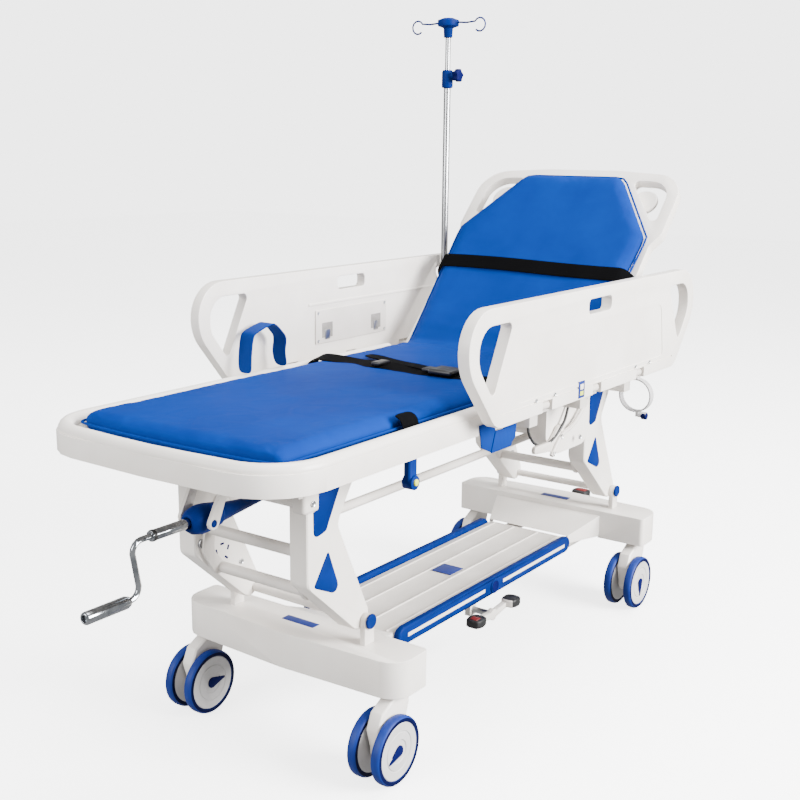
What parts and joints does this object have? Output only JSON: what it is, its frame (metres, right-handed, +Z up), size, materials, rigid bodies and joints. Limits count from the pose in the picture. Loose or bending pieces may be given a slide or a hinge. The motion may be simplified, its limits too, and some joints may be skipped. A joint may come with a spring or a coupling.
{
  "type": "patient transfer stretcher",
  "caption": "Wheeled patient stretcher with crank lift, tilting backrest, folding side rails, drip pole and lower storage tray.",
  "frame": {"origin": "on the floor, under the centre of the object's box", "axes": "+X towards the head end, +Y to the left as seen from the foot end, +Z up"},
  "size_m": [1.983, 0.8533, 1.664],
  "materials": {
    "white_plastic": "moulded, satin gloss",
    "white_steel": "powder coated",
    "blue_plastic": "moulded",
    "blue_fabric": "coated woven fabric",
    "grey_plastic": "moulded",
    "blue_rubber": "moulded tread",
    "black_plastic": "moulded",
    "chrome": "polished plating",
    "plain_steel": "brushed"
  },
  "bodies": {
    "base": {"chassis_frame": "white_steel", "base_cover_foot": "white_plastic", "base_cover_head": "white_plastic", "storage_tray": "white_plastic", "tray_bumper_right": "blue_plastic", "tray_bumper_left": "blue_plastic", "pivot_shaft_foot": "blue_plastic", "pivot_shaft_head": "blue_plastic"},
    "caster_foot_right": {"caster_hood_foot_right": "white_plastic"},
    "wheel_foot_right": {"wheel_hub_foot_right": "grey_plastic", "tyre_inner_foot_right": "blue_rubber", "tyre_outer_foot_right": "blue_rubber"},
    "caster_foot_left": {"caster_hood_foot_left": "white_plastic"},
    "wheel_foot_left": {"wheel_hub_foot_left": "grey_plastic", "tyre_inner_foot_left": "blue_rubber", "tyre_outer_foot_left": "blue_rubber"},
    "caster_head_right": {"caster_hood_head_right": "white_plastic"},
    "wheel_head_right": {"wheel_hub_head_right": "grey_plastic", "tyre_inner_head_right": "blue_rubber", "tyre_outer_head_right": "blue_rubber"},
    "caster_head_left": {"caster_hood_head_left": "white_plastic"},
    "wheel_head_left": {"wheel_hub_head_left": "grey_plastic", "tyre_inner_head_left": "blue_rubber", "tyre_outer_head_left": "blue_rubber"},
    "brake": {"brake_shaft": "plain_steel", "brake_rocker_right": "black_plastic", "brake_rocker_left": "black_plastic"},
    "head_pedal": {"head_brake_pedal": "black_plastic"},
    "lift_foot": {"lift_plate_foot_right": "white_plastic", "lift_plate_foot_left": "white_plastic", "lift_frame_foot": "white_steel"},
    "lift_head": {"lift_plate_head_right": "white_plastic", "lift_plate_head_left": "white_plastic", "lift_frame_head": "white_steel"},
    "tie": {"tie_rod_right": "white_steel", "tie_rod_left": "white_steel"},
    "deck": {"deck_subframe": "white_steel", "foot_deck": "white_plastic", "seat_mattress": "blue_fabric", "crank_yoke": "white_steel", "crank_housing": "blue_plastic", "accessory_clip": "blue_plastic", "cylinder_ring": "grey_plastic", "mechanism_cover": "white_plastic", "gas_spring_cylinder": "black_plastic", "iv_pole_lower": "plain_steel", "iv_clamp_collar": "blue_plastic", "carry_handle_right": "blue_fabric", "carry_handle_left": "blue_fabric"},
    "crank": {"crank_handle": "chrome"},
    "crank_grip": {"crank_grip": "chrome"},
    "release_lever": {"release_lever": "white_steel"},
    "gas_spring_rod": {"gas_spring_rod": "plain_steel"},
    "side_rail_right": {"side_rail_right": "white_plastic"},
    "side_rail_left": {"side_rail_left": "white_plastic"},
    "backrest": {"backrest_panel": "white_plastic", "back_mattress": "blue_fabric"},
    "clamp_knob": {"iv_clamp_knob": "black_plastic"},
    "pole_slide": {"iv_pole_upper": "plain_steel", "iv_hook_bar": "blue_plastic"}
  },
  "joints": [
    {"name": "lift_foot_swing", "type": "hinge", "parent": "base", "child": "lift_foot", "pos_m": [-0.4015, -0.04075, 0.32], "axis": [0, -1, 0], "range_deg": [0, 44]},
    {"name": "lift_head_swing", "type": "hinge", "parent": "base", "child": "lift_head", "pos_m": [0.7985, -0.04075, 0.32], "axis": [0, -1, 0], "range_deg": [0, 44]},
    {"name": "deck_level", "type": "hinge", "parent": "lift_foot", "child": "deck", "pos_m": [-0.4635, -0.04075, 0.665], "axis": [0, -1, 0], "range_deg": [-44, 0]},
    {"name": "tie_level", "type": "hinge", "parent": "lift_foot", "child": "tie", "pos_m": [-0.5065, -0.04075, 0.555], "axis": [0, -1, 0], "range_deg": [-44, 0]},
    {"name": "crank_turn", "type": "hinge", "parent": "deck", "child": "crank", "pos_m": [-0.7335, -0.04075, 0.585], "axis": [1, 0, 0], "continuous": true},
    {"name": "crank_grip_spin", "type": "hinge", "parent": "crank", "child": "crank_grip", "pos_m": [-0.8865, -0.04075, 0.474], "axis": [1, 0, 0], "continuous": true},
    {"name": "backrest_tilt", "type": "hinge", "parent": "deck", "child": "backrest", "pos_m": [0.397, -0.04075, 0.735], "axis": [0, -1, 0], "range_deg": [-46, 29]},
    {"name": "gas_rod_slide", "type": "slide", "parent": "deck", "child": "gas_spring_rod", "axis": [1, 0, 0], "range_m": [-0.078, 0.05]},
    {"name": "side_rail_right_fold", "type": "hinge", "parent": "deck", "child": "side_rail_right", "pos_m": [0.245, -0.41275, 0.742], "axis": [1, 0, 0], "range_deg": [0, 175]},
    {"name": "side_rail_left_fold", "type": "hinge", "parent": "deck", "child": "side_rail_left", "pos_m": [0.245, 0.33125, 0.742], "axis": [-1, 0, 0], "range_deg": [0, 175]},
    {"name": "pole_slide", "type": "slide", "parent": "deck", "child": "pole_slide", "axis": [0, 0, 1], "range_m": [-0.085, 0.3]},
    {"name": "clamp_knob_turn", "type": "hinge", "parent": "deck", "child": "clamp_knob", "pos_m": [0.6735, 0.27295, 1.504], "axis": [0, -1, 0], "range_deg": [0, 540]},
    {"name": "brake_rock", "type": "hinge", "parent": "base", "child": "brake", "pos_m": [0.1585, -0.04075, 0.14], "axis": [0, 1, 0], "range_deg": [-12, 12]},
    {"name": "head_pedal_press", "type": "hinge", "parent": "base", "child": "head_pedal", "pos_m": [0.8435, -0.04075, 0.17], "axis": [0, 1, 0], "range_deg": [-12, 12]},
    {"name": "release_lever_pull", "type": "hinge", "parent": "deck", "child": "release_lever", "pos_m": [0.2735, -0.31775, 0.6197], "axis": [0, 1, 0], "range_deg": [0, 18], "stiffness_Nm_per_rad": 4, "springref_deg": -5.73},
    {"name": "caster_swivel_foot_right", "type": "hinge", "parent": "base", "child": "caster_foot_right", "pos_m": [-0.4015, -0.30875, 0.186], "axis": [0, 0, 1], "continuous": true},
    {"name": "wheel_spin_foot_right", "type": "hinge", "parent": "caster_foot_right", "child": "wheel_foot_right", "pos_m": [-0.4485, -0.30875, 0.075], "axis": [0, 1, 0], "continuous": true},
    {"name": "caster_swivel_foot_left", "type": "hinge", "parent": "base", "child": "caster_foot_left", "pos_m": [-0.4015, 0.22725, 0.186], "axis": [0, 0, 1], "continuous": true},
    {"name": "wheel_spin_foot_left", "type": "hinge", "parent": "caster_foot_left", "child": "wheel_foot_left", "pos_m": [-0.4485, 0.22725, 0.075], "axis": [0, 1, 0], "continuous": true},
    {"name": "caster_swivel_head_right", "type": "hinge", "parent": "base", "child": "caster_head_right", "pos_m": [0.7985, -0.30875, 0.186], "axis": [0, 0, 1], "continuous": true},
    {"name": "wheel_spin_head_right", "type": "hinge", "parent": "caster_head_right", "child": "wheel_head_right", "pos_m": [0.7515, -0.30875, 0.075], "axis": [0, 1, 0], "continuous": true},
    {"name": "caster_swivel_head_left", "type": "hinge", "parent": "base", "child": "caster_head_left", "pos_m": [0.7985, 0.22725, 0.186], "axis": [0, 0, 1], "continuous": true},
    {"name": "wheel_spin_head_left", "type": "hinge", "parent": "caster_head_left", "child": "wheel_head_left", "pos_m": [0.7515, 0.22725, 0.075], "axis": [0, 1, 0], "continuous": true}
  ],
  "couplings": [
    {"joint": "lift_head_swing", "follows": "lift_foot_swing", "ratio": 1},
    {"joint": "deck_level", "follows": "lift_foot_swing", "ratio": -1},
    {"joint": "tie_level", "follows": "lift_foot_swing", "ratio": -1},
    {"joint": "crank_turn", "follows": "lift_foot_swing", "ratio": 81.818},
    {"joint": "gas_rod_slide", "follows": "backrest_tilt", "m_per_rad": 0.093},
    {"joint": "head_pedal_press", "follows": "brake_rock", "ratio": 1}
  ]
}
